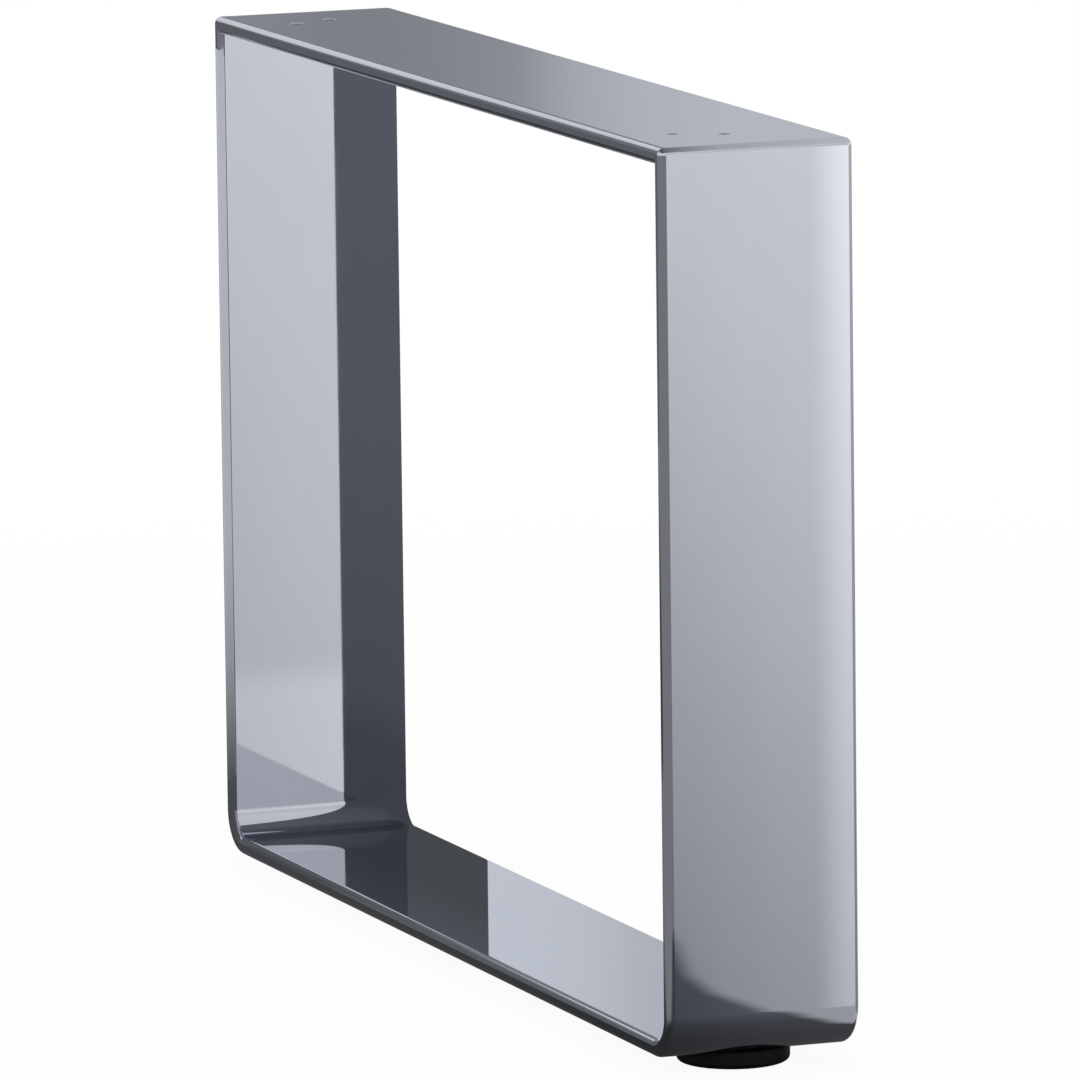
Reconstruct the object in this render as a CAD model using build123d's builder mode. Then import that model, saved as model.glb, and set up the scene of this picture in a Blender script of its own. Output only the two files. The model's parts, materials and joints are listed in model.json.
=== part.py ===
"""Low table base: a closed loop of polished flat bar that stands on two moulded glides.

Sizes are in millimetres. X runs along the loop, Y across the bar and Z up from the floor.
The near end of the loop is at +X and its front edge at -Y.
"""
import os
from math import hypot

from build123d import *

# Flat bar of the whole loop
bar_width = 90.0
bar_thickness = 8.0
edge_radius = 3.3  # polished rounding of every outside edge

# Loop, measured over the metal
loop_length = 580.0
loop_height = 400.0  # underside of the floor rail to the face under the table top
bend_inner_radius = 12.0

# Holes in the top plate, a pair at each end, for screws driven up into the table top
screw_hole_diameter = 6.0
screw_hole_deburr = 0.4
centre_hole_inset = 38.0  # end of the loop to the hole on the middle of the bar
front_hole_inset = 48.0  # end of the loop to the hole nearer the front edge
front_hole_offset = 20.0  # middle of the bar to that hole

# Glides under the floor rail
glide_diameter = 50.0
glide_height = 8.0
glide_inset = 38.0  # end of the loop to the middle of the glide
glide_edge_width = 3.0  # reach of the soft lower edge across the sole
glide_edge_height = 2.5  # reach of the soft lower edge up the wall
glide_edge_corner = 0.75  # middle of the soft edge, in from the wall and up from the sole
glide_top_chamfer = 0.5
glide_web = 3.2  # moulding between the screw's head and the rail

# Button-head screw that holds each glide, in a blind tapped hole
screw_diameter = 5.0
screw_reach = 4.8  # depth of the screw in the rail
screw_tip_chamfer = 0.6
screw_head_diameter = 9.5
screw_head_height = 2.75
screw_head_rim = 0.6  # straight part of the head above its dome
screw_crown_diameter = 4.8  # flat in the middle of the dome
hex_socket_size = 3.0  # across flats
hex_socket_depth = 1.5

# Clearances
thread_clearance = 0.05  # all round the screw in its tapped hole
screw_clearance = 0.25  # all round the screw in the glide
head_clearance = 0.75  # all round the screw's head in its recess
tip_clearance = 0.4  # past the screw's tip, at the bottom of the tapped hole

# Levels and places that follow from the sizes above
rail_bottom = glide_height
plate_top = rail_bottom + loop_height
weld_level = plate_top - bar_thickness
loop_middle = rail_bottom + loop_height / 2
bend_outer_radius = bend_inner_radius + bar_thickness
head_seat = glide_height - glide_web
head_bottom = head_seat - screw_head_height
rim_level = head_seat - screw_head_rim
screw_tip = rail_bottom + screw_reach
head_radius = screw_head_diameter / 2
crown_radius = screw_crown_diameter / 2
dome_rise = rim_level - head_bottom
dome_centre = (head_radius**2 - crown_radius**2 - dome_rise**2) / (2 * dome_rise)  # above the rim
dome_radius = hypot(head_radius, dome_centre)
glide_radius = glide_diameter / 2
recess_radius = head_radius + head_clearance
passage_radius = screw_diameter / 2 + screw_clearance
glide_x = loop_length / 2 - glide_inset
centre_hole_x = loop_length / 2 - centre_hole_inset
front_hole_x = loop_length / 2 - front_hole_inset
ends = {"near": 1, "far": -1}


def polished_loop():
    """The bent bar and the plate on its ends, ground flush and rounded over as one closed loop."""
    with BuildPart() as loop:
        with BuildSketch(Plane.XZ):
            with Locations((0, loop_middle)):
                Rectangle(loop_length, loop_height)
            fillet(vertices().group_by(Axis.Y)[0], bend_outer_radius)
            offset(amount=-bar_thickness, kind=Kind.INTERSECTION, mode=Mode.SUBTRACT)
        extrude(amount=bar_width / 2, both=True)
        front_face = faces().sort_by(Axis.Y)[0]
        back_face = faces().sort_by(Axis.Y)[-1]
        top_end_edges = edges().filter_by(Axis.Y).group_by(Axis.Z)[-1]
        fillet(front_face.edges() + back_face.edges() + top_end_edges, edge_radius)
    return loop.part


# Bar bent into the floor rail and two uprights, with a blind tapped hole over each glide
with BuildPart() as u_frame:
    add(polished_loop())
    split(bisect_by=Plane.XY.offset(weld_level), keep=Keep.BOTTOM)
    with BuildSketch(Plane.XY.offset(rail_bottom)):
        with Locations(*[(side * glide_x, 0) for side in ends.values()]):
            Circle(screw_diameter / 2 + thread_clearance)
    extrude(amount=screw_reach + tip_clearance, mode=Mode.SUBTRACT)
u_frame.part.label = "u_frame"

# Plate across the uprights' ends, with a pair of screw holes at each end
with BuildPart() as top_plate:
    add(polished_loop())
    split(bisect_by=Plane.XY.offset(weld_level), keep=Keep.TOP)
    with BuildSketch(Plane.XY.offset(plate_top)):
        for side in ends.values():
            with Locations((side * centre_hole_x, 0), (side * front_hole_x, -front_hole_offset)):
                Circle(screw_hole_diameter / 2)
    extrude(amount=-bar_thickness, mode=Mode.SUBTRACT)
    chamfer(edges(Select.LAST).filter_by(GeomType.CIRCLE), screw_hole_deburr)
top_plate.part.label = "top_plate"

os.makedirs("parts", exist_ok=True)
export_step(u_frame.part, "parts/u_frame.step")
export_step(top_plate.part, "parts/top_plate.step")

# Moulded glide at each end, turned from its half section, with a recess for the screw's head
for end, side in ends.items():
    half_section = Plane((side * glide_x, 0, 0), x_dir=(1, 0, 0), z_dir=(0, -1, 0))
    glide_axis = Axis((side * glide_x, 0, 0), (0, 0, 1))
    with BuildPart() as glide:
        with BuildSketch(half_section):
            with BuildLine():
                Polyline(
                    (recess_radius, 0),
                    (glide_radius - glide_edge_width, 0),
                    (glide_radius - glide_edge_corner, glide_edge_corner),
                    (glide_radius, glide_edge_height),
                    (glide_radius, glide_height - glide_top_chamfer),
                    (glide_radius - glide_top_chamfer, glide_height),
                    (passage_radius, glide_height),
                    (passage_radius, head_seat),
                    (recess_radius, head_seat),
                    close=True,
                )
            make_face()
        revolve(axis=glide_axis)
    glide.part.label = f"{end}_glide"
    export_step(glide.part, f"parts/{end}_glide.step")

    # Its screw, head down, with the head seated against the top of the recess
    with BuildPart() as glide_screw:
        with BuildSketch(half_section):
            with BuildLine():
                crown = Line((0, head_bottom), (crown_radius, head_bottom))
                dome = RadiusArc(crown @ 1, (head_radius, rim_level), -dome_radius)
                Polyline(
                    dome @ 1,
                    (head_radius, head_seat),
                    (screw_diameter / 2, head_seat),
                    (screw_diameter / 2, screw_tip - screw_tip_chamfer),
                    (screw_diameter / 2 - screw_tip_chamfer, screw_tip),
                    (0, screw_tip),
                    crown @ 0,
                )
            make_face()
        revolve(axis=glide_axis)
        with BuildSketch(Plane((side * glide_x, 0, head_bottom))):
            RegularPolygon(hex_socket_size / 2, 6, major_radius=False)
        extrude(amount=hex_socket_depth, mode=Mode.SUBTRACT)
    glide_screw.part.label = f"{end}_glide_screw"
    export_step(glide_screw.part, f"parts/{end}_glide_screw.step")
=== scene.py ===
# %% [markdown]
# # A chromed loop base for a low table
# The real object is a flat steel bar, bent into a U, with a plate of the same bar welded across its
# ends. The weld is ground flush, and the closed loop is polished and chrome plated. Two black moulded
# discs hold it off the floor.
#
# Chrome has almost no colour of its own: what we see is the studio around it. So this lesson takes as
# much care over what the metal mirrors as over the metal. We load the measured model first, because
# every piece takes its size and place from it.

# %% Load the fixed frame
import json
from math import cos, pi, radians, sin

import bpy
from mathutils import Matrix, Vector
from mathutils.geometry import tessellate_polygon

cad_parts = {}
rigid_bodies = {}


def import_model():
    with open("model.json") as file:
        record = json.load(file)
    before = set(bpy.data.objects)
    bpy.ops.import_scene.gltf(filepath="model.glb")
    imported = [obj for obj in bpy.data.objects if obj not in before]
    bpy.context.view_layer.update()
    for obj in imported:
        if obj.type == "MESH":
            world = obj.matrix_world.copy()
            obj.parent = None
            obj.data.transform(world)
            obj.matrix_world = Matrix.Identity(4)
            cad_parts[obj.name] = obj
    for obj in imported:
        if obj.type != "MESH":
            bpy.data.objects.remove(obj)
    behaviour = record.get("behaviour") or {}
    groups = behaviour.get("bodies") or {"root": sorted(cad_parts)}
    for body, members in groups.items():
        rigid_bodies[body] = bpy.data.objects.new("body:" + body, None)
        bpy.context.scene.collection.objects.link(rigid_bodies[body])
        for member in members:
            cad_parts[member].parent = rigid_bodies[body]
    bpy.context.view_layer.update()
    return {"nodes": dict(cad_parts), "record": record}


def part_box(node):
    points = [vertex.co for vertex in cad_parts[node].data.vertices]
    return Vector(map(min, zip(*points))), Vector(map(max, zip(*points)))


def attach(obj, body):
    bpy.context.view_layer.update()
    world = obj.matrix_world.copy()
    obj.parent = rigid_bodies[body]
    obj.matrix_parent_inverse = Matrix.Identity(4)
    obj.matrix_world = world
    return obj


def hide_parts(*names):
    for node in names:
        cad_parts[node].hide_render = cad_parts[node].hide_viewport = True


for leftover in list(bpy.data.objects):
    bpy.data.objects.remove(leftover)
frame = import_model()
print("nodes:", sorted(frame["nodes"]))

# %% [markdown]
# ## Sizes
# A maker would write down the bar's section first: everything else follows from it. We read it from the
# boxes of the loaded nodes, and the screw holes from the record's mounts, so that nothing is typed twice.
# Only the small radii can't be read from a box, and they get a name and a value here, in metres.

# %% Sizes of the bar, the loop and the holes
frame_low, frame_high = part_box("u_frame")
plate_low, plate_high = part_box("top_plate")
loop_length = frame_high.x - frame_low.x
bar_width = frame_high.y - frame_low.y
bar_thickness = plate_high.z - plate_low.z
rail_bottom = frame_low.z
weld_level = plate_low.z
plate_top = plate_high.z

edge_radius = 0.0033
bend_outer_radius = 0.020
hole_deburr = 0.0004

mm = 0.001
mounts = {mount["name"]: mount for mount in frame["record"]["mounts"]}


def hole_pair(mount_name):
    """The two places of a pair of screw holes, and their radius, as the record's mount gives them."""
    mount = mounts[mount_name]
    reach = mount["dims"]["spacing_x_mm"] * mm / 2
    across = mount["pos_m"][1]
    return [(-reach, across), (reach, across)], mount["dims"]["hole_r_mm"] * mm


centre_holes, hole_radius = hole_pair("centre_screw_holes")
front_holes, hole_radius = hole_pair("front_screw_holes")
print("bar", round(1000 * bar_width), "x", round(1000 * bar_thickness), "mm")
print("holes at", centre_holes + front_holes)

# %% [markdown]
# ## Camera
# The photograph is taken from far away with a long lens: the loop's edges hardly converge. A camera in
# Blender can be aimed with a constraint, but here its direction was fitted to the edges of the loop, so
# it is simplest to write that direction down and build the camera's axes from it. A small roll is left in,
# because the photograph has it too.

# %% Place the camera
view_azimuth = radians(69.32)
view_elevation = radians(8.78)
view_roll = radians(-0.70)
view_distance = 5.412
view_centre = Vector((0.0033, 0.0065, 0.1948))
lens_length = 396.7

forward = Vector((
    -sin(view_azimuth) * cos(view_elevation),
    cos(view_azimuth) * cos(view_elevation),
    -sin(view_elevation),
))
level_right = Vector((cos(view_azimuth), sin(view_azimuth), 0))
level_up = level_right.cross(forward)
camera_right = level_right * cos(view_roll) + level_up * sin(view_roll)
camera_up = level_up * cos(view_roll) - level_right * sin(view_roll)

camera_data = bpy.data.cameras.new("camera")
camera_data.lens = lens_length
camera_data.sensor_width = 36
camera_data.clip_end = 100
camera = bpy.data.objects.new("camera", camera_data)
axes = Matrix((camera_right, camera_up, -forward)).transposed().to_4x4()
camera.matrix_world = Matrix.Translation(view_centre - forward * view_distance) @ axes
bpy.context.scene.collection.objects.link(camera)
bpy.context.scene.camera = camera
bpy.context.scene.view_settings.view_transform = "Standard"
print("camera at", [round(value, 3) for value in camera.location])

# %% [markdown]
# ## Writing node trees
# Materials, groups and the world are all node trees. Adding each node, setting its values and drawing its
# links takes three lines of code a node, and the wiring is soon hard to follow. One small helper takes the
# kind of node and its inputs: a number or colour is set on the socket, and a socket is linked to it.

# %% A helper for nodes


def add_node(tree, kind, inputs=None, **settings):
    """Adds a node to the tree. Inputs go by name or number, and each is a value or a socket to link."""
    made = tree.nodes.new(kind)
    for name, value in settings.items():
        setattr(made, name, value)
    for key, value in (inputs or {}).items():
        if isinstance(value, bpy.types.NodeSocket):
            tree.links.new(value, made.inputs[key])
        else:
            made.inputs[key].default_value = value
    return made


def calculate(tree, operation, *values):
    """The output of a Math node."""
    return add_node(tree, "ShaderNodeMath", dict(enumerate(values)), operation=operation).outputs[0]


def soft_step(tree, value, start, end):
    """Goes smoothly from 0 at start to 1 at end."""
    limits = {"Value": value, "From Min": start, "From Max": end}
    step = add_node(tree, "ShaderNodeMapRange", limits, interpolation_type="SMOOTHSTEP")
    return step.outputs["Result"]


def product(tree, first, *others):
    """The values multiplied together."""
    for other in others:
        first = calculate(tree, "MULTIPLY", first, other)
    return first


# %% [markdown]
# ## Short names for common nodes
# Some kinds of node come back in almost every material here: a mix of two colours or of two shaders, a surface
# that shines, and a ramp of grey. A ramp runs from 0 to 1, so the helper for it first maps its value from
# metres, and its stops can be written as places on the floor or on a card.

# %% Helpers for colours and shaders


def mix_colours(tree, share, first, second, blend_type="MIX"):
    """The output of a Mix node for colours. Its sockets follow those for numbers and vectors."""
    colours = {"Factor": share, 6: first, 7: second}
    mixed = add_node(tree, "ShaderNodeMix", colours, data_type="RGBA", blend_type=blend_type)
    return mixed.outputs[2]


def mix_shaders(tree, share, first, second):
    """The output of a Mix Shader node."""
    return add_node(tree, "ShaderNodeMixShader", {0: share, 1: first, 2: second}).outputs[0]


def emission(tree, colour, strength=1):
    """A surface that shines by itself, in any light."""
    return add_node(tree, "ShaderNodeEmission", {"Color": colour, "Strength": strength}).outputs[0]


def grey_scale(tree, value, stops, tint=(1, 1, 1)):
    """A grey that follows the value through (value, grey) stops, with straight lines between them."""
    lowest, highest = stops[0][0], stops[-1][0]
    share = add_node(tree, "ShaderNodeMapRange", {"Value": value, "From Min": lowest, "From Max": highest})
    ramp = add_node(tree, "ShaderNodeValToRGB", {"Fac": share.outputs["Result"]})
    ramp_stops = ramp.color_ramp.elements
    while len(ramp_stops) < len(stops):
        ramp_stops.new(0.5)
    for ramp_stop, (place, grey) in zip(ramp_stops, stops):
        ramp_stop.position = (place - lowest) / (highest - lowest)
        ramp_stop.color = (grey * tint[0], grey * tint[1], grey * tint[2], 1)
    return ramp.outputs["Color"]


def blank_material(name):
    """A material with an empty node tree and its output."""
    material = bpy.data.materials.new(name)
    material.use_nodes = True
    material.node_tree.nodes.clear()
    output = add_node(material.node_tree, "ShaderNodeOutputMaterial")
    return material, material.node_tree, output.inputs["Surface"]


# %% [markdown]
# ## The floor in the mirror
# Chrome sees the floor at a low angle, over metres of it, and there a real studio floor is far from even:
# it is bright towards the light at the back, falls off towards the front, and is dark in the shade of the
# loop. That fall-off gives the upright faces their long soft gradients. An image could hold it, but a few
# grey stops on the way to the light, and soft limits for the shade, say the same in numbers that we can
# turn by hand.

# %% Values of the mirrored floor
# Brightness of the floor, against the distance towards the light
light_slope = 0.27
floor_greys = [
    (-1.6, 0.28), (-0.30, 0.28), (-0.17, 0.22), (-0.12, 0.27), (-0.07, 0.45), (0.07, 0.71), (0.15, 0.83),
    (0.22, 0.905), (0.30, 0.95), (0.36, 1.0),
]
# Back edge of the shade that the loop throws, against X, and how dark the shade is there
shade_edge = [
    (-0.35, 0.050), (0.20, 0.050), (0.26, 0.080), (0.287, 0.080), (0.30, 0.043), (0.325, 0.036),
    (0.40, 0.051), (0.43, 0.0535), (0.475, 0.048), (0.52, 0.054), (0.59, 0.0755), (0.62, 0.082),
    (0.70, 0.082),
]
shade_depth = [(-0.35, 0.88), (0.285, 0.88), (0.36, 0.75), (0.42, 0.72), (0.70, 0.72)]
shade_softness = 0.007
# Soft limits of the shade, each as the places where it starts and where it is full
shade_front = (-0.20, -0.08)
shade_far_end = (-0.55, -0.40)
shade_near_end = (0.66, 0.60)
# The shade is plain under the loop and cool in front of its near end
plain_shade = (0.02, 0.02, 0.02, 1)
cool_shade = (0, 0.02, 0.085, 1)
cool_start = (0.30, 0.36)
# Pool of light on the floor behind the loop
pool_gain = 0.2
pool_near_end = (0.30, 0.17)
pool_front = (0.045, 0.07)
pool_back = (0.26, 0.20)
# Painted shade on the mirrored floor beyond the far end, which the lower front edges see
far_floor_depth = 0.8
far_floor_start = (-0.36, -0.5)
far_floor_front = (-0.75, -0.45)
print("mirrored floor from grey", floor_greys[0][1], "to", floor_greys[-1][1])

# %% [markdown]
# ## How the values meet
# The fall-off is one ramp of grey. The shade multiplies it by a dark colour, within its soft limits, and the
# pool and the far floor only change the strength. Written as one function a part, each can be changed alone.

# %% What the chrome sees of the floor


def floor_shade(tree, place):
    """How much of the loop's shade lies on the floor, from 0 up to its depth."""
    past_edge = calculate(tree, "SUBTRACT", place["Y"], grey_scale(tree, place["X"], shade_edge))
    return product(
        tree,
        soft_step(tree, past_edge, shade_softness, -shade_softness),
        soft_step(tree, place["Y"], *shade_front),
        soft_step(tree, place["X"], *shade_far_end),
        soft_step(tree, place["X"], *shade_near_end),
        grey_scale(tree, place["X"], shade_depth),
    )


def floor_strength(tree, place):
    """How bright the floor is against its fall-off: more in the pool, less beyond the far end."""
    pool = product(
        tree,
        soft_step(tree, place["X"], *pool_near_end),
        soft_step(tree, place["Y"], *pool_front),
        soft_step(tree, place["Y"], *pool_back),
        pool_gain,
    )
    beyond = product(
        tree,
        soft_step(tree, place["X"], *far_floor_start),
        soft_step(tree, place["Y"], *far_floor_front),
        far_floor_depth,
    )
    return calculate(tree, "ADD", calculate(tree, "SUBTRACT", 1, beyond), pool)


def mirrored_floor(tree, place):
    """The floor as the chrome sees it."""
    along = calculate(tree, "MAXIMUM", place["X"], -loop_length / 2)
    towards_light = calculate(tree, "SUBTRACT", place["Y"], product(tree, along, light_slope))
    fall_off = grey_scale(tree, towards_light, floor_greys)
    shade_tint = mix_colours(tree, soft_step(tree, place["X"], *cool_start), plain_shade, cool_shade)
    shaded = mix_colours(tree, floor_shade(tree, place), fall_off, shade_tint, blend_type="MULTIPLY")
    return emission(tree, shaded, floor_strength(tree, place))


# %% [markdown]
# ## The floor
# The camera should see a plain pale floor with the loop's soft shadow on it, which fades into the white
# backdrop. So one material answers each kind of ray in its own way, and Light Path tells them apart.
# Scattered light meets plain paint, the camera sees that paint lifted towards white, and the chrome sees
# the mirrored floor. From below, the floor is clear.

# %% Make the floor
floor_radius = 4.5
floor_sides = 96
floor_fade_start = 0.7
floor_fade_end = 1.5
floor_paint = (0.9, 0.9, 0.9, 1)
white = (1, 1, 1, 1)
camera_lift = 0.95


def floor_surface(tree):
    """What the floor shows to scattered light, to the camera and to the chrome."""
    rays = add_node(tree, "ShaderNodeLightPath").outputs
    geometry = add_node(tree, "ShaderNodeNewGeometry").outputs
    place = add_node(tree, "ShaderNodeSeparateXYZ", {0: geometry["Position"]}).outputs
    paint = add_node(tree, "ShaderNodeBsdfDiffuse", {"Color": floor_paint}).outputs[0]
    clear = add_node(tree, "ShaderNodeBsdfTransparent").outputs[0]
    lift = product(tree, rays["Is Camera Ray"], camera_lift)
    near = mix_shaders(tree, lift, paint, emission(tree, white))
    from_middle = add_node(tree, "ShaderNodeVectorMath", {0: geometry["Position"]}, operation="LENGTH")
    fade = soft_step(tree, from_middle.outputs["Value"], floor_fade_start, floor_fade_end)
    seen = mix_shaders(tree, product(tree, fade, rays["Is Camera Ray"]), near, clear)
    from_above = mix_shaders(tree, rays["Is Glossy Ray"], seen, mirrored_floor(tree, place))
    return mix_shaders(tree, geometry["Backfacing"], from_above, clear)


def stage_mesh(name, points, material):
    """One flat face of the stage, which isn't part of the object."""
    mesh = bpy.data.meshes.new(name)
    mesh.from_pydata(points, [], [range(len(points))])
    mesh.materials.append(material)
    made = bpy.data.objects.new(name, mesh)
    bpy.context.scene.collection.objects.link(made)
    return made


floor_material, floor_tree, floor_output = blank_material("studio_floor")
floor_tree.links.new(floor_surface(floor_tree), floor_output)
floor_angles = [2 * pi * step / floor_sides for step in range(floor_sides)]
floor_rim = [(floor_radius * cos(angle), floor_radius * sin(angle), 0) for angle in floor_angles]
stage_mesh("floor", floor_rim, floor_material)
print("floor radius", floor_radius, "m")

# %% [markdown]
# ## Cards and flags
# A photographer shapes chrome by what stands around it: white cards give light faces, and black flags
# give the dark bands that make the metal read as a mirror. They could be lamps, but a lamp also lights the
# floor. Plain faces with an emission of their own, which only glossy rays can see, change the mirror image
# and nothing else.

# %% A helper for cards


def card(
    name, corner, along, up, stops, axis="Z", soft=None, soft_axis="Y", tint=(1, 1, 1), strength=1,
    one_sided=False,
):
    """A flat card that only the chrome sees. Its grey follows the stops along an axis.

    Where soft is given, the card is clear at its first place along the soft axis and full at its second.
    A one-sided card is clear from behind.
    """
    material, tree, output = blank_material(name)
    geometry = add_node(tree, "ShaderNodeNewGeometry").outputs
    place = add_node(tree, "ShaderNodeSeparateXYZ", {0: geometry["Position"]}).outputs
    clear = add_node(tree, "ShaderNodeBsdfTransparent").outputs[0]
    glow = emission(tree, grey_scale(tree, place[axis], stops, tint), strength)
    if soft:
        glow = mix_shaders(tree, soft_step(tree, place[soft_axis], *soft), clear, glow)
    if one_sided:
        glow = mix_shaders(tree, geometry["Backfacing"], glow, clear)
    tree.links.new(glow, output)
    start, side, rise = Vector(corner), Vector(along), Vector(up)
    made = stage_mesh(name, [start, start + side, start + side + rise, start + rise], material)
    for ray in ("camera", "diffuse", "transmission", "volume_scatter", "shadow"):
        setattr(made, f"visible_{ray}", False)
    return made


# %% [markdown]
# ## The large cards
# From the camera, the tops of the plate and of the rail both mirror the far end of the studio. Two wide cards
# stand there, and an edge card in front of them gives the plate's front edge its light line. A ceiling and a
# card at the near end close the studio for the rounded edges and for other views. A real card is brighter on
# the side of its lamp, so the grey of each follows a few stops.

# %% Make the large cards
back_card_x = -1.5
cool = (0.96, 1, 1.07)
large_cards = [
    card(
        "low_back_card", (back_card_x, -1.6, 0), (0, 3.0, 0), (0, 0, 0.47),
        [(-1.6, 0.16), (0.10, 0.16), (0.2, 0.74), (0.55, 0.735), (0.60, 0.70), (0.64, 0.60), (1.4, 0.56)],
        axis="Y", tint=cool,
    ),
    card(
        "high_back_card", (back_card_x, -1.6, 0.47), (0, 3.2, 0), (0, 0, 0.95),
        [
            (-1.6, 0.22), (0.10, 0.25), (0.40, 0.29), (0.45, 0.265), (0.50, 0.275), (0.56, 0.325),
            (0.60, 0.475), (0.64, 0.545), (0.70, 0.585), (1.6, 0.58),
        ],
        axis="Y", tint=cool,
    ),
    card(
        "edge_card", (back_card_x + 0.05, -0.62, 0.3), (0, 0.84, 0), (0, 0, 1.1),
        [(0.3, 0.12), (0.60, 0.18), (0.72, 0.85), (1.4, 0.90)], soft=(-0.58, -0.40),
    ),
    card(
        "ceiling", (-1.6, -3, 1.5), (4.8, 0, 0), (0, 6, 0), [(-1.6, 0.5), (0, 0.8), (3.2, 0.9)], axis="X",
    ),
    card(
        "front_card", (5, -1, 0), (0, 5.5, 0), (0, 0, 4),
        [(0, 1), (0.45, 0.97), (0.97, 0.79), (4, 0.82)],
    ),
]
print("large cards:", [made.name for made in large_cards])

# %% [markdown]
# ## Cards close to the far end
# A small card close to the metal shapes one band or line. A black flag behind the far upright makes the dark
# half of its inner face. Two light cards brighten its front edge, and a low flag darkens that edge again
# round the bend. The low flag ends softly, so that the rail doesn't mirror a hard block from behind.

# %% Make the far cards
far_cards = [
    card(
        "black_flag", (-0.33, 0.048, 0), (0.148, 0, 0), (0, 0, 0.40),
        [(0, 0.085), (0.045, 0.088), (0.07, 0.115), (0.21, 0.15), (0.40, 0.165)], tint=(0.94, 1, 1.1),
    ),
    card(
        "far_edge_card", (-0.297, -0.048, 0.04), (0.035, 0, 0), (0, 0, 0.352),
        [(0.04, 0.12), (0.10, 0.48), (0.16, 0.68), (0.34, 0.78), (0.392, 0.75)],
    ),
    card(
        "far_corner_card", (-0.2, -0.048, 0.03), (0, -0.112, 0), (0, 0, 0.35),
        [(0.03, 0.25), (0.08, 0.50), (0.13, 0.68), (0.38, 0.78)], one_sided=True,
    ),
    card(
        "bend_flag", (-0.34, -0.075, 0), (0.15, 0, 0), (0, 0, 0.10), [(0, 0.10), (0.10, 0.14)],
        soft=(-0.19, -0.25), soft_axis="X",
    ),
]
print("far cards:", [made.name for made in far_cards])

# %% [markdown]
# ## Cards close to the near end
# The near end shows its broad outer face, and thin dark lines round it make it read as solid metal. A narrow
# flag just above the top edge draws the line at the front corner, and one behind the loop draws the line down
# the back edge. A bright reflector beside them lights the strip next to that line.

# %% Make the near cards
near_cards = [
    card(
        "corner_flag", (0.281, -0.052, 0.412), (0.017, 0, 0), (0, 0.102, 0),
        [(-0.052, 0.15), (-0.046, 0.15), (-0.03, 0.40), (-0.015, 0.60), (0.05, 0.78)], axis="Y",
        soft=(0.281, 0.285), soft_axis="X",
    ),
    card(
        "back_edge_flag", (0.25, 0.10, 0), (0.08, 0, 0), (0, 0, 0.40),
        [(0, 0.30), (0.12, 0.40), (0.40, 0.65)],
    ),
    card(
        "side_reflector", (0.39, 0.060, 0), (0, 0.12, 0), (0, 0, 0.395),
        [(0, 0.50), (0.395, 0.89)], soft=(0.063, 0.084), strength=1.55,
    ),
]
print("near cards:", [made.name for made in near_cards])

# %% [markdown]
# ## Lamps
# The floor and the black discs are the only surfaces that scatter light, so the lamps are few: one wide soft
# lamp overhead and a weaker one from the front left, which gives the shadow a direction. They are hidden from
# glossy rays, because the cards already say what the chrome mirrors.

# %% Make the lamps


def soft_lamp(name, place, size, power):
    """A square area lamp that points at the loop."""
    lamp = bpy.data.lights.new(name, "AREA")
    lamp.size = size
    lamp.energy = power
    made = bpy.data.objects.new(name, lamp)
    made.location = place
    made.rotation_euler = (view_centre - Vector(place)).to_track_quat("-Z", "Y").to_euler()
    made.visible_camera = False
    made.visible_glossy = False
    bpy.context.scene.collection.objects.link(made)
    return made


lamps = [
    soft_lamp("overhead_lamp", place=(0.2, 0.3, 2.6), size=2.4, power=36),
    soft_lamp("side_lamp", place=(-1.4, -1.8, 1.6), size=1.0, power=14),
]
print("lamps:", [made.name for made in lamps])

# %% [markdown]
# ## The world
# The background has to be white, but a white world would also flood the floor and wash out the shadow. So the
# world is white for the camera and for mirror images, and only a gentle fill for scattered light.

# %% Make the world
fill_strength = 0.4
world = bpy.data.worlds.new("studio")
world.use_nodes = True
world_tree = world.node_tree
world_tree.nodes.clear()
world_rays = add_node(world_tree, "ShaderNodeLightPath").outputs
seen_directly = calculate(
    world_tree, "MAXIMUM",
    calculate(world_tree, "MAXIMUM", world_rays["Is Camera Ray"], world_rays["Is Glossy Ray"]),
    world_rays["Is Transmission Ray"],
)
strength = add_node(world_tree, "ShaderNodeMapRange", {"Value": seen_directly, "To Min": fill_strength})
backdrop = add_node(
    world_tree, "ShaderNodeBackground", {"Color": white, "Strength": strength.outputs["Result"]}
)
add_node(world_tree, "ShaderNodeOutputWorld", {"Surface": backdrop.outputs[0]})
bpy.context.scene.world = world
print("world:", world.name)

# %% [markdown]
# ## Effects that the finishes share
# No real surface is the same all over. Chrome has a faint haze where it was wiped, plastic has the grain of
# its mould, and zinc is patchy. These are the same three effects at other sizes: a slow drift of colour, a
# change of gloss, and a fine relief. Each one is a node group, built once, and each finish sets its own
# values. All of them measure in metres from the object's own origin, so they stay put when it moves.

# %% Helpers for node groups
cloud_roughness = 0.55


def new_group(name, inputs, outputs):
    """A shader node group with its sockets. Inputs and outputs are lists of (name, kind of socket)."""
    tree = bpy.data.node_groups.new(name, "ShaderNodeTree")
    for socket_name, kind in inputs:
        tree.interface.new_socket(socket_name, in_out="INPUT", socket_type=kind)
    for socket_name, kind in outputs:
        tree.interface.new_socket(socket_name, in_out="OUTPUT", socket_type=kind)
    return tree, add_node(tree, "NodeGroupInput").outputs, add_node(tree, "NodeGroupOutput").inputs


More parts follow.
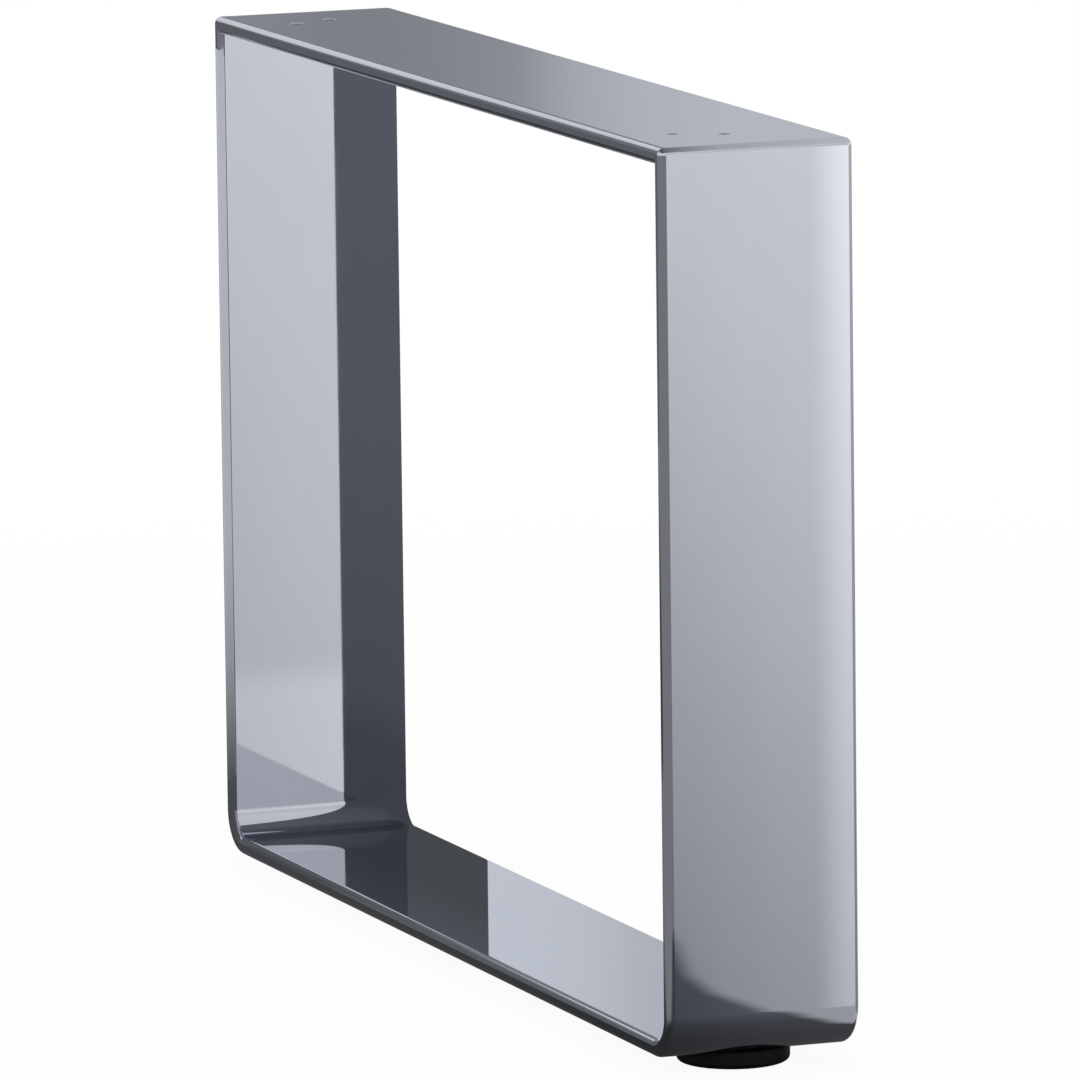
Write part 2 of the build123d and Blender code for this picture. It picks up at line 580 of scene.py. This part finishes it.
def patches(tree, stretch, size, detail):
    """A cloudy value from 0 to 1, with patches of about the given size."""
    place = add_node(tree, "ShaderNodeTexCoord").outputs["Object"]
    stretched = add_node(tree, "ShaderNodeVectorMath", {0: place, 1: stretch}, operation="MULTIPLY")
    scale = calculate(tree, "DIVIDE", 1, size)
    cloud = add_node(tree, "ShaderNodeTexNoise", {
        "Vector": stretched.outputs["Vector"], "Scale": scale, "Detail": detail,
        "Roughness": cloud_roughness,
    })
    return cloud.outputs["Fac"]


# %% [markdown]
# ## Three groups
# Each group turns the same kind of cloud into one thing: a colour between two, a roughness between two, or a
# height. The stretch squeezes the patches along one axis and so leaves them long in the others, as wiping and
# buffing do. Most of a cloud's values lie between the two limits named first, which spread it over its range.

# %% Build the shared node groups
cloud_low, cloud_high = 0.3, 0.7
number, vector, colour = "NodeSocketFloat", "NodeSocketVector", "NodeSocketColor"

colour_drift, drift_in, drift_out = new_group(
    "colour_drift", [("First", colour), ("Second", colour), ("Patch size", number), ("Stretch", vector)],
    [("Color", colour)],
)
drift_cloud = patches(colour_drift, drift_in["Stretch"], drift_in["Patch size"], detail=3)
drift_share = soft_step(colour_drift, drift_cloud, cloud_low, cloud_high)
drift_colour = mix_colours(colour_drift, drift_share, drift_in["First"], drift_in["Second"])
colour_drift.links.new(drift_colour, drift_out["Color"])

gloss_change, gloss_in, gloss_out = new_group(
    "gloss_change", [("Smoothest", number), ("Dullest", number), ("Patch size", number), ("Stretch", vector)],
    [("Roughness", number)],
)
gloss_range = add_node(gloss_change, "ShaderNodeMapRange", {
    "Value": patches(gloss_change, gloss_in["Stretch"], gloss_in["Patch size"], detail=5),
    "From Min": cloud_low, "From Max": cloud_high,
    "To Min": gloss_in["Smoothest"], "To Max": gloss_in["Dullest"],
})
gloss_change.links.new(gloss_range.outputs["Result"], gloss_out["Roughness"])

fine_relief, relief_in, relief_out = new_group(
    "fine_relief", [("Grain size", number), ("Depth", number), ("Stretch", vector)], [("Height", number)],
)
relief = patches(fine_relief, relief_in["Stretch"], relief_in["Grain size"], detail=2)
fine_relief.links.new(product(fine_relief, relief, relief_in["Depth"]), relief_out["Height"])
print("groups:", [group.name for group in bpy.data.node_groups])

# %% [markdown]
# ## Finishes
# Chrome plate is a metal shader with a cool grey of its own and hardly any roughness. The buffing wheel runs
# along the bar, so its haze is long in that direction and short across the bar. The discs are black plastic
# with a fine mould grain, and the screws are bright zinc, duller and a little yellow in places.

# %% Make the finishes


def group_node(tree, group, **inputs):
    """Places a shared group in a material. Its inputs are named in lower case, with _ for a space."""
    sockets = {name.replace("_", " ").capitalize(): value for name, value in inputs.items()}
    return add_node(tree, "ShaderNodeGroup", sockets, node_tree=group)


def finish(name, metallic, drift, gloss, relief_values, shine=0.5):
    """A Principled material whose colour, gloss and relief come from the shared groups."""
    material, tree, output = blank_material(name)
    colour_node = group_node(tree, colour_drift, **drift)
    gloss_node = group_node(tree, gloss_change, **gloss)
    relief_node = group_node(tree, fine_relief, **relief_values)
    bump = add_node(
        tree, "ShaderNodeBump", {"Height": relief_node.outputs["Height"], "Distance": 1.0, "Strength": 1.0}
    )
    shader = add_node(tree, "ShaderNodeBsdfPrincipled", {
        "Base Color": colour_node.outputs["Color"], "Roughness": gloss_node.outputs["Roughness"],
        "Normal": bump.outputs["Normal"], "Metallic": metallic, "Specular IOR Level": shine,
    })
    tree.links.new(shader.outputs["BSDF"], output)
    return material


along_bar = (1, 5, 1)
all_ways = (1, 1, 1)
chrome_plate = finish(
    "chrome_plate", metallic=1.0,
    drift={
        "first": (0.548, 0.574, 0.638, 1), "second": (0.556, 0.582, 0.646, 1),
        "patch_size": 0.06, "stretch": along_bar,
    },
    gloss={"smoothest": 0.022, "dullest": 0.045, "patch_size": 0.03, "stretch": along_bar},
    relief_values={"grain_size": 0.03, "depth": 2e-6, "stretch": along_bar},
)
black_plastic = finish(
    "black_plastic", metallic=0.0, shine=0.2,
    drift={
        "first": (0.004, 0.004, 0.005, 1), "second": (0.007, 0.007, 0.008, 1),
        "patch_size": 0.004, "stretch": all_ways,
    },
    gloss={"smoothest": 0.42, "dullest": 0.58, "patch_size": 0.006, "stretch": all_ways},
    relief_values={"grain_size": 0.0004, "depth": 3e-5, "stretch": all_ways},
)
zinc_plate = finish(
    "zinc_plate", metallic=1.0,
    drift={
        "first": (0.53, 0.54, 0.56, 1), "second": (0.60, 0.58, 0.53, 1),
        "patch_size": 0.002, "stretch": all_ways,
    },
    gloss={"smoothest": 0.22, "dullest": 0.36, "patch_size": 0.001, "stretch": all_ways},
    relief_values={"grain_size": 0.0003, "depth": 4e-6, "stretch": all_ways},
)
print("finishes:", chrome_plate.name, black_plastic.name, zinc_plate.name)

# %% [markdown]
# ## A skin with exact normals
# A mirror shows the slightest error in a surface's normals. A bevel with averaged normals would tilt the flat
# faces near their edges, and the gradient on them would bend. So each face gets the true normal of the real
# surface at each of its corners, worked out by the same formula that places the point. The small class below
# collects faces that way, joins points that meet, and turns each face so that it looks outwards.

# %% A collector for faces
joined_digits = 7  # points that agree to this many decimals of a metre are one point


class Skin:
    """Collects faces, each a list of (point, normal) corners, and makes one mesh from them."""

    def __init__(self):
        self.points = []
        self.faces = []
        self.normals = []
        self.known = {}

    def index_of(self, point):
        """The number of a point, whether it is new or already known."""
        key = tuple(round(value, joined_digits) for value in point)
        if key not in self.known:
            self.known[key] = len(self.points)
            self.points.append(point)
        return self.known[key]

    def add(self, corners):
        """Adds a face, without corners that fall together, and turned to face its normals."""
        kept = []
        for point, normal in corners:
            index = self.index_of(point)
            if index not in [other for other, _ in kept]:
                kept.append((index, normal))
        if len(kept) < 3:
            return
        places = [Vector(self.points[index]) for index, _ in kept]
        sides = [place - places[0] for place in places[1:]]
        facing = sum((side.cross(following) for side, following in zip(sides, sides[1:])), Vector())
        outwards = sum((Vector(normal) for _, normal in kept), Vector())
        if facing.dot(outwards) < 0:
            kept.reverse()
        self.faces.append([index for index, _ in kept])
        self.normals.extend(tuple(normal) for _, normal in kept)

    def piece(self, name, material, node):
        """Makes the mesh, attaches it to the root body, and hides the node it copies."""
        mesh = bpy.data.meshes.new(name)
        mesh.from_pydata(self.points, [], self.faces)
        mesh.polygons.foreach_set("use_smooth", [True] * len(self.faces))
        mesh.normals_split_custom_set(self.normals)
        mesh.materials.append(material)
        made = bpy.data.objects.new(name, mesh)
        bpy.context.scene.collection.objects.link(made)
        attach(made, "root")
        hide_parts(node)
        print(name, len(mesh.vertices), "points", len(mesh.polygons), "faces")
        return made


# %% [markdown]
# ## The bar carried round the loop
# The real bar has one section all the way: a flat with its four edges rounded over by the polishing. A curve
# with a bevel profile could carry that section round a path, but it rounds off the sharp corners at the top.
# Instead, each point of the section has a depth under the loop's outer face, and the path is drawn again at
# that depth. At the bends the radius shrinks by the depth, and at the welded corners the path simply turns,
# which gives the true mitre inside and the true rounding outside.

# %% Section and paths
edge_steps = 10
bend_steps = 40
corner_steps = 10


def bar_section():
    """Points round the bar, as (depth under the outer face, place across, normal out, normal across)."""
    points = []
    for corner in range(4):
        middle_depth = edge_radius if corner < 2 else bar_thickness - edge_radius
        middle_across = (bar_width / 2 - edge_radius) * (1 if corner in (1, 2) else -1)
        for step in range(edge_steps + 1):
            angle = (corner - 1 + step / edge_steps) * pi / 2
            out, sideways = cos(angle), sin(angle)
            depth, across = middle_depth - edge_radius * out, middle_across + edge_radius * sideways
            points.append((depth, across, out, sideways))
    return points


def turn(centre_x, centre_z, radius, first, last, steps):
    """Stations round a bend, each as (x, z, normal x, normal z). Angles are in quarter turns from +X."""
    stations = []
    for step in range(steps + 1):
        angle = (first + (last - first) * step / steps) * pi / 2
        normal_x, normal_z = cos(angle), sin(angle)
        stations.append((centre_x + radius * normal_x, centre_z + radius * normal_z, normal_x, normal_z))
    return stations


def bent_path(depth):
    """Down the far upright, along the rail and up the near upright."""
    end = loop_length / 2
    inset = end - bend_outer_radius
    bend_level = rail_bottom + bend_outer_radius
    radius = bend_outer_radius - depth
    return [
        (depth - end, weld_level, -1, 0),
        *turn(-inset, bend_level, radius, 2, 3, bend_steps),
        *turn(inset, bend_level, radius, 3, 4, bend_steps),
        (end - depth, weld_level, 1, 0),
    ]


def plate_path(depth):
    """Up from the far weld, across the top and down to the near weld."""
    end = loop_length / 2
    inset = max(depth, edge_radius)
    radius = inset - depth
    return [
        (depth - end, weld_level, -1, 0),
        *turn(inset - end, plate_top - inset, radius, 2, 1, corner_steps),
        *turn(end - inset, plate_top - inset, radius, 1, 0, corner_steps),
        (end - depth, weld_level, 1, 0),
    ]


section = bar_section()
print("section of", len(section), "points, path of", len(bent_path(0)), "stations")

# %% [markdown]
# ## Skinning the loop
# Between two neighbours on the section and two on the path lies one face. A normal is the section's normal
# turned with the path, so it is as exact as the point. Where a flat face needs holes, its cell stays open.
# The cuts at the weld are closed with one level face each, so that every piece is a closed body.

# %% Carry the section along a path
facing_up, facing_down = (0, 0, 1), (0, 0, -1)


def sweep(skin, path, end_facing, open_cells):
    """Carries the section along the path and closes its two ends, which face one way.

    The open cells, as (section step, path step), are left for flat faces.
    """
    lines = [(path(depth), across, out, sideways) for depth, across, out, sideways in section]
    last = len(lines[0][0]) - 1
    cells = [(row, column) for row in range(len(lines)) for column in range(last)]
    for row, column in cells:
        if (row, column) in open_cells:
            continue
        corners = []
        for line, place in ((row, column), (row, column + 1), (row + 1, column + 1), (row + 1, column)):
            stations, across, out, sideways = lines[line % len(lines)]
            x, z, normal_x, normal_z = stations[place]
            corners.append(((x, across, z), (out * normal_x, sideways, out * normal_z)))
        skin.add(corners)
    for place in (0, last):
        ends = [(stations[place][0], across, stations[place][1]) for stations, across, _, _ in lines]
        skin.add([(point, end_facing) for point in ends])


# Steps of the section that are the bar's outer and inner flats
outer_flat_row = edge_steps
inner_flat_row = 3 * edge_steps + 2
print("flats at steps", outer_flat_row, "and", inner_flat_row, "of the section")

# %% [markdown]
# ## Flat faces with holes
# The plate has two screw holes near each end, with their edges deburred, and the rail has a blind tapped hole
# over each disc. A Boolean modifier would cut them, but it spoils the exact normals. The flat face is filled
# round the holes instead, and each bore is a wall turned round its own axis.

# %% Flat faces and bores
circle_steps = 64
circle_angles = [2 * pi * step / circle_steps for step in range(circle_steps)]


def ring(centre, radius, level):
    """Points of a circle about a vertical axis."""
    x, y = centre
    return [(x + radius * cos(angle), y + radius * sin(angle), level) for angle in circle_angles]


def flat_face(skin, outline, holes, facing):
    """Fills a level outline round its holes."""
    rims = [[Vector(point) for point in rim] for rim in [outline, *holes]]
    points = [point for rim in rims for point in rim]
    for triangle in tessellate_polygon(rims):
        skin.add([(tuple(points[index]), facing) for index in triangle])


def turned_wall(skin, centre, profile):
    """Turns a profile of (radius, level) points round a vertical axis.

    A stretch of the profile that runs up faces away from the axis, and one that runs down faces the axis.
    """
    for (radius_a, level_a), (radius_b, level_b) in zip(profile, profile[1:]):
        lean = Vector((level_b - level_a, radius_a - radius_b)).normalized()
        normals = [(lean.x * cos(angle), lean.x * sin(angle), lean.y) for angle in circle_angles]
        rings = ring(centre, radius_a, level_a), ring(centre, radius_b, level_b)
        for step in range(circle_steps):
            following = (step + 1) % circle_steps
            around = ((0, step), (0, following), (1, following), (1, step))
            skin.add([(rings[rim][place], normals[place]) for rim, place in around])


print("walls of", circle_steps, "steps")

# %% [markdown]
# ## The bent bar
# The U is the bar's section carried down one upright, along the rail and up the other. Its underside is left
# open by the sweep and filled round the two tapped holes, which end just past the screws' tips.

# %% Make the bent bar
tapped_radius = 0.00255
tapped_depth = 0.0052
glide_low, glide_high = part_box("near_glide")
glide_x = (glide_low.x + glide_high.x) / 2
flat_half_width = bar_width / 2 - edge_radius


def level_rectangle(half_length, half_width, level):
    """Corners of a rectangle about the middle of the loop."""
    return [
        (-half_length, -half_width, level), (half_length, -half_width, level),
        (half_length, half_width, level), (-half_length, half_width, level),
    ]


bent_bar_skin = Skin()
rail_column = bend_steps + 1
sweep(bent_bar_skin, bent_path, facing_up, {(outer_flat_row, rail_column)})
tapped_places = [(-glide_x, 0), (glide_x, 0)]
flat_face(
    bent_bar_skin,
    level_rectangle(loop_length / 2 - bend_outer_radius, flat_half_width, rail_bottom),
    [ring(place, tapped_radius, rail_bottom) for place in tapped_places],
    facing_down,
)
tapped_end = rail_bottom + tapped_depth
for place in tapped_places:
    turned_wall(bent_bar_skin, place, [(tapped_radius, tapped_end), (tapped_radius, rail_bottom)])
    bent_bar_skin.add([(point, facing_down) for point in ring(place, tapped_radius, tapped_end)])
bent_bar_skin.piece("bent_bar", chrome_plate, "u_frame")

# %% [markdown]
# ## The drilled plate
# The plate closes the loop. The weld is ground flush, so no seam shows: the plate's rounded edges run straight
# on into those of the uprights. Each screw hole is a bore with a small deburred edge at both faces.

# %% Make the plate
plate_skin = Skin()
top_column = corner_steps + 1
sweep(plate_skin, plate_path, facing_down, {(outer_flat_row, top_column), (inner_flat_row, top_column)})
hole_places = centre_holes + front_holes
rim_radius = hole_radius + hole_deburr
top_outline = level_rectangle(loop_length / 2 - edge_radius, flat_half_width, plate_top)
under_outline = level_rectangle(loop_length / 2 - bar_thickness, flat_half_width, weld_level)
top_rims = [ring(place, rim_radius, plate_top) for place in hole_places]
under_rims = [ring(place, rim_radius, weld_level) for place in hole_places]
flat_face(plate_skin, top_outline, top_rims, facing_up)
flat_face(plate_skin, under_outline, under_rims, facing_down)
bore_profile = [
    (rim_radius, plate_top), (hole_radius, plate_top - hole_deburr),
    (hole_radius, weld_level + hole_deburr), (rim_radius, weld_level),
]
for place in hole_places:
    turned_wall(plate_skin, place, bore_profile)
plate_skin.piece("drilled_plate", chrome_plate, "top_plate")

# %% [markdown]
# ## The glides and their screws
# Each glide is a low moulded disc with a soft lower edge, so that it slides over a rug's pile, and a recess
# that hides the screw's head. It is turned from its half section, with the soft edge as a quarter of an
# ellipse. The screws are small and sit deep in that recess, so they keep their measured shape and only get
# their zinc.

# %% Make the glides and finish the screws
glide_radius = (glide_high.x - glide_low.x) / 2
glide_height = glide_high.z - glide_low.z
soft_edge_width = 0.003
soft_edge_height = 0.0025
glide_top_chamfer = 0.0005
recess_radius = 0.0055
recess_top = 0.0048
passage_radius = 0.00275
soft_edge_steps = 12


def soft_edge_profile():
    """The lower edge of the disc, from its sole up to its wall."""
    points = []
    for step in range(soft_edge_steps + 1):
        angle = step / soft_edge_steps * pi / 2
        inset = soft_edge_width * (1 - sin(angle))
        points.append((glide_radius - inset, soft_edge_height * (1 - cos(angle))))
    return points


glide_profile = [
    (passage_radius, glide_height), (passage_radius, recess_top),
    (recess_radius, recess_top), (recess_radius, 0),
    *soft_edge_profile(),
    (glide_radius, glide_height - glide_top_chamfer), (glide_radius - glide_top_chamfer, glide_height),
    (passage_radius, glide_height),
]
for node, side in (("near_glide", 1), ("far_glide", -1)):
    glide_skin = Skin()
    turned_wall(glide_skin, (side * glide_x, 0), glide_profile)
    glide_skin.piece(f"{node}_moulded", black_plastic, node)

for node in ("near_glide_screw", "far_glide_screw"):
    screw = frame["nodes"][node]
    screw.data.materials.clear()
    screw.data.materials.append(zinc_plate)
    print(node, "keeps", len(screw.data.polygons), "faces")
